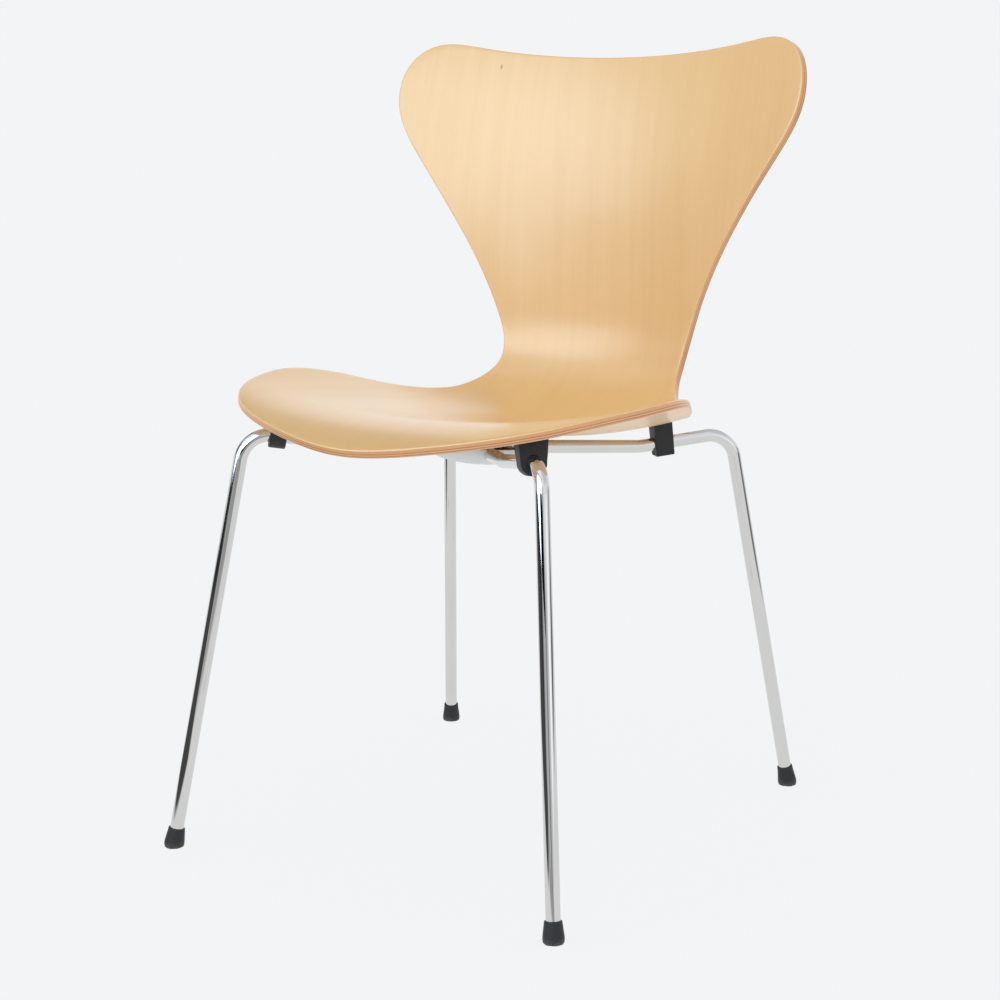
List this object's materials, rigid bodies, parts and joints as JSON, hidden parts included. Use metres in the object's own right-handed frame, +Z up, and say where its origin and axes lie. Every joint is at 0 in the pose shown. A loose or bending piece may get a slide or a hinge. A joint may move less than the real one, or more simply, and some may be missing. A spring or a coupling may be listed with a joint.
{
  "type": "stacking chair",
  "caption": "Stacking chair: moulded plywood shell with a flared back, narrow waist and rounded seat, on splayed chromed steel tube legs with plastic bumpers and feet.",
  "frame": {"origin": "on the floor plane, at the centre of the chair's outer box", "axes": "+Z up, the sitter faces -Y, +X is the sitter's left"},
  "size_m": [0.5076, 0.5295, 0.8195],
  "materials": {
    "veneer": "clear satin lacquer on maple or beech veneer, ply lines on the edge",
    "pad_plywood": "plain plywood",
    "tube_chrome": "polished chrome plate",
    "plate_steel": "plated pressed steel",
    "screw_steel": "zinc plated",
    "insert_brass": "turned brass",
    "cover_plastic": "light grey moulded plastic",
    "bumper_plastic": "black moulded plastic, fine texture",
    "foot_plastic": "black moulded plastic, slightly glossy"
  },
  "bodies": {
    "root": {"seat_shell": "veneer", "mounting_block": "pad_plywood", "threaded_inserts": "insert_brass", "hub_plate": "plate_steel", "front_leg_tube": "tube_chrome", "rear_leg_tube": "tube_chrome", "frame_screws": "screw_steel", "lock_washers": "screw_steel", "base_cover": "cover_plastic", "bumper_front_left": "bumper_plastic", "bumper_front_right": "bumper_plastic", "bumper_rear_left": "bumper_plastic", "bumper_rear_right": "bumper_plastic", "foot_front_left": "foot_plastic", "foot_front_right": "foot_plastic", "foot_rear_left": "foot_plastic", "foot_rear_right": "foot_plastic", "foot_discs": "screw_steel"}
  },
  "joints": []
}
